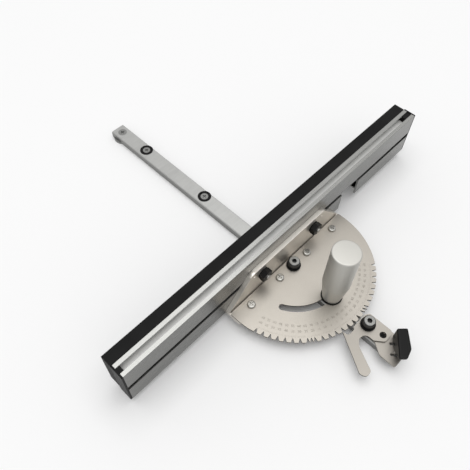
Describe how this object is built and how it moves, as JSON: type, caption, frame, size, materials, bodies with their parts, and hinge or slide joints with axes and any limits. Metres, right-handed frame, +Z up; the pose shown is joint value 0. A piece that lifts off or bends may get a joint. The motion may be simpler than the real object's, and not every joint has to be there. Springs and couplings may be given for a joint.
{
  "type": "miter gauge",
  "caption": "Table saw miter gauge: slide bar, notched protractor plate, long T-slot fence with black face boards, clamp handle and squeeze index lever with a thumb grip.",
  "frame": {"origin": "on the pivot's axis, in the underside of the slide bar", "axes": "+X along the fence to the user's right, +Y along the bar towards its far end, +Z up out of the table"},
  "size_m": [0.451, 0.4557, 0.1025],
  "materials": {
    "bar_steel": "ground and lightly oiled steel",
    "disc_steel": "turned steel",
    "black_washer": "black oxide",
    "black_screw": "black oxide",
    "zinc_screw": "bright zinc plating",
    "plate_steel": "satin stainless with etched scale",
    "bracket_steel": "satin steel",
    "bush_brass": "turned",
    "fence_aluminium": "satin anodised extrusion",
    "handle_aluminium": "satin turned",
    "board_black": "fine textured black",
    "cap_black": "moulded",
    "grip_black": "moulded",
    "lever_steel": "satin stainless",
    "spring_steel": "oil-hardened wire"
  },
  "bodies": {
    "base": {"miter_bar": "bar_steel", "t_slot_disc": "disc_steel", "disc_screw": "zinc_screw", "expansion_washer_1": "black_washer", "expansion_washer_2": "black_washer", "expansion_screw_1": "zinc_screw", "expansion_screw_2": "zinc_screw", "pivot_bush": "bush_brass", "pivot_washer": "black_washer", "pivot_screw": "black_screw", "clamp_spacer": "disc_steel", "handle_stud": "zinc_screw", "index_bush": "bush_brass", "index_washer": "black_washer", "index_screw": "black_screw", "index_spacer": "disc_steel", "index_spring": "spring_steel", "thumb_plate": "lever_steel", "thumb_plate_screw": "black_screw", "thumb_grip": "grip_black"},
    "head": {"protractor_plate": "plate_steel", "angle_bracket": "bracket_steel", "bracket_screws": "zinc_screw", "fence_bolt_1": "zinc_screw", "fence_bolt_2": "zinc_screw", "fence_washer_1": "black_washer", "fence_washer_2": "black_washer", "fence_nut_1": "black_screw", "fence_nut_2": "black_screw"},
    "fence": {"fence_profile": "fence_aluminium", "end_cap_left": "cap_black", "end_cap_right": "cap_black"},
    "board_left": {"face_board_left": "board_black", "board_screws_left": "black_screw", "board_nuts_left": "zinc_screw"},
    "board_right": {"face_board_right": "board_black", "board_screws_right": "black_screw", "board_nuts_right": "zinc_screw"},
    "lever": {"index_lever": "lever_steel"},
    "handle": {"handle_grip": "handle_aluminium", "handle_washer": "black_washer"}
  },
  "joints": [
    {"name": "head_swing", "type": "hinge", "parent": "base", "child": "head", "pos_m": [0, 0, 0.0156], "axis": [0, 0, 1], "range_deg": [-60, 60]},
    {"name": "fence_slide", "type": "slide", "parent": "head", "child": "fence", "axis": [1, 0, 0], "range_m": [-0.045, 0.12]},
    {"name": "board_left_slide", "type": "slide", "parent": "fence", "child": "board_left", "axis": [1, 0, 0], "range_m": [-0.04, 0]},
    {"name": "board_right_slide", "type": "slide", "parent": "fence", "child": "board_right", "axis": [1, 0, 0], "range_m": [0, 0.04]},
    {"name": "index_squeeze", "type": "hinge", "parent": "base", "child": "lever", "pos_m": [0, -0.1, 0.0156], "axis": [0, 0, 1], "range_deg": [-9, 12], "stiffness_Nm_per_rad": 0.3, "springref_deg": -9, "deforming": ["index_spring"]},
    {"name": "handle_turn", "type": "hinge", "parent": "base", "child": "handle", "pos_m": [0, -0.0528, 0.0177], "axis": [0, 0, 1], "continuous": true}
  ]
}
